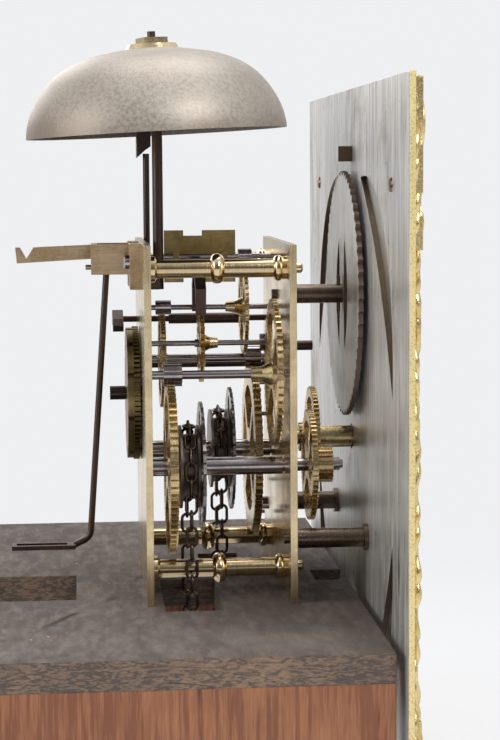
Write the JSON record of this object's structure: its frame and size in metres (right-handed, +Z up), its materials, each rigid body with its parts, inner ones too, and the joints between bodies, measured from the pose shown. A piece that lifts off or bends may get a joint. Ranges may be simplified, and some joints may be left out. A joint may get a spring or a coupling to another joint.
{
  "type": "longcase clock movement",
  "caption": "Plated longcase clock movement with bell, crutch, chain drive and square dial, standing on its seat board above two case cheeks.",
  "frame": {"origin": "middle of the underside of the case cheeks", "axes": "+X towards the front of the dial, +Z up, the near side of the movement towards -Y"},
  "size_m": [0.208, 0.33, 0.3671],
  "materials": {
    "board_wood": "weathered dark grey-brown board with splits",
    "cheek_wood": "reddish pine, worn",
    "plate_brass": "polished",
    "pillar_brass": "polished",
    "cock_brass": "satin",
    "wheel_brass": "brushed",
    "aged_brass": "aged",
    "bell_metal": "cast and pitted",
    "nut_brass": "polished",
    "arbor_steel": "polished",
    "dark_iron": "dark, worn bright on the edges",
    "sprocket_iron": "worn",
    "chain_iron": "dark",
    "dial_metal": "scraped and stained",
    "foot_steel": "turned",
    "calendar_metal": "scraped",
    "ring_silver": "silvered",
    "spandrel_gilt": "gilt",
    "hand_steel": "blued"
  },
  "bodies": {
    "movement": {"seat_board": "board_wood", "cheek_near": "cheek_wood", "cheek_far": "cheek_wood", "seat_bolts": "dark_iron", "back_plate": "plate_brass", "front_plate": "plate_brass", "pillar_near_low": "pillar_brass", "pillar_near_high": "pillar_brass", "pillar_far_low": "pillar_brass", "pillar_far_high": "pillar_brass", "plate_pins": "arbor_steel", "back_cock": "cock_brass", "cock_screws": "arbor_steel", "bell_stand": "dark_iron", "bell": "bell_metal", "bell_nut": "nut_brass", "centre_stud": "dark_iron", "count_stud": "dark_iron", "dial_plate": "dial_metal", "dial_post": "dial_metal", "chapter_ring": "ring_silver", "spandrels": "spandrel_gilt", "dial_foot_upper": "foot_steel", "dial_foot_near": "foot_steel", "dial_foot_far": "foot_steel", "going_chain": "chain_iron", "strike_chain": "chain_iron"},
    "going_great": {"going_arbor": "arbor_steel", "going_great_wheel": "wheel_brass", "going_click_wheel": "arbor_steel", "minute_wheel": "wheel_brass", "report_pinion": "wheel_brass"},
    "going_pulley": {"going_sprocket": "sprocket_iron"},
    "second": {"second_arbor": "arbor_steel", "second_wheel": "wheel_brass"},
    "escape": {"escape_arbor": "arbor_steel", "escape_wheel": "wheel_brass"},
    "pallets": {"anchor_arbor": "arbor_steel", "anchor": "dark_iron", "crutch": "dark_iron"},
    "strike_great": {"strike_arbor": "arbor_steel", "strike_great_wheel": "wheel_brass", "lifting_pins": "arbor_steel", "strike_click_wheel": "arbor_steel"},
    "strike_pulley": {"strike_sprocket": "sprocket_iron"},
    "hoop": {"hoop_arbor": "arbor_steel", "hoop_wheel": "wheel_brass"},
    "warning": {"warning_arbor": "arbor_steel", "warning_wheel": "wheel_brass"},
    "fly": {"fly_arbor": "arbor_steel", "fly_vane": "aged_brass"},
    "count": {"count_wheel": "aged_brass"},
    "hammer": {"hammer_arbor": "dark_iron", "hammer_head": "dark_iron"},
    "locking": {"detent": "dark_iron"},
    "minute": {"cannon_pinion": "wheel_brass", "minute_hand": "hand_steel"},
    "hour": {"hour_wheel": "wheel_brass", "hour_hand": "hand_steel"},
    "calendar": {"calendar_wheel": "calendar_metal"}
  },
  "joints": [
    {"name": "going_great_turn", "type": "hinge", "parent": "movement", "child": "going_great", "pos_m": [0.018, -0.03, 0.166], "axis": [1, 0, 0], "continuous": true},
    {"name": "going_sprocket_turn", "type": "hinge", "parent": "going_great", "child": "going_pulley", "pos_m": [0.0051, -0.03, 0.166], "axis": [1, 0, 0], "continuous": true},
    {"name": "second_turn", "type": "hinge", "parent": "movement", "child": "second", "pos_m": [0.018, -0.03498, 0.20901], "axis": [1, 0, 0], "continuous": true},
    {"name": "escape_turn", "type": "hinge", "parent": "movement", "child": "escape", "pos_m": [0.018, 0, 0.22054], "axis": [1, 0, 0], "continuous": true},
    {"name": "anchor_swing", "type": "hinge", "parent": "movement", "child": "pallets", "pos_m": [0, 0, 0.25704], "axis": [1, 0, 0], "range_deg": [-3, 3]},
    {"name": "strike_great_turn", "type": "hinge", "parent": "movement", "child": "strike_great", "pos_m": [0.018, 0.03, 0.166], "axis": [1, 0, 0], "continuous": true},
    {"name": "strike_sprocket_turn", "type": "hinge", "parent": "strike_great", "child": "strike_pulley", "pos_m": [0.0232, 0.03, 0.166], "axis": [1, 0, 0], "continuous": true},
    {"name": "hoop_turn", "type": "hinge", "parent": "movement", "child": "hoop", "pos_m": [0.018, 0.02701, 0.21098], "axis": [1, 0, 0], "continuous": true},
    {"name": "warning_turn", "type": "hinge", "parent": "movement", "child": "warning", "pos_m": [0.018, 0.02103, 0.23628], "axis": [1, 0, 0], "continuous": true},
    {"name": "fly_turn", "type": "hinge", "parent": "movement", "child": "fly", "pos_m": [0.018, 0.01703, 0.26096], "axis": [1, 0, 0], "continuous": true},
    {"name": "count_turn", "type": "hinge", "parent": "movement", "child": "count", "pos_m": [-0.019, 0.01316, 0.19601], "axis": [1, 0, 0], "continuous": true},
    {"name": "hammer_lift", "type": "hinge", "parent": "movement", "child": "hammer", "pos_m": [0.018, 0.054, 0.206], "axis": [1, 0, 0], "range_deg": [0, 5], "stiffness_Nm_per_rad": 0.03, "springref_deg": -8.59},
    {"name": "detent_lift", "type": "hinge", "parent": "movement", "child": "locking", "pos_m": [0.018, 0.047, 0.229], "axis": [1, 0, 0], "range_deg": [-8, 0]},
    {"name": "cannon_turn", "type": "hinge", "parent": "movement", "child": "minute", "pos_m": [0.075, 0, 0.1749], "axis": [1, 0, 0], "continuous": true},
    {"name": "hour_turn", "type": "hinge", "parent": "movement", "child": "hour", "pos_m": [0.075, 0, 0.1749], "axis": [1, 0, 0], "continuous": true},
    {"name": "calendar_turn", "type": "hinge", "parent": "movement", "child": "calendar", "pos_m": [0.081, 0, 0.2434], "axis": [1, 0, 0], "continuous": true}
  ],
  "couplings": [
    {"joint": "second_turn", "follows": "going_great_turn", "ratio": -9},
    {"joint": "escape_turn", "follows": "going_great_turn", "ratio": 90},
    {"joint": "cannon_turn", "follows": "going_great_turn", "ratio": -4},
    {"joint": "hour_turn", "follows": "going_great_turn", "ratio": -0.33333},
    {"joint": "hoop_turn", "follows": "strike_great_turn", "ratio": -9},
    {"joint": "warning_turn", "follows": "strike_great_turn", "ratio": 72},
    {"joint": "fly_turn", "follows": "strike_great_turn", "ratio": -576},
    {"joint": "count_turn", "follows": "strike_great_turn", "ratio": -0.1}
  ]
}
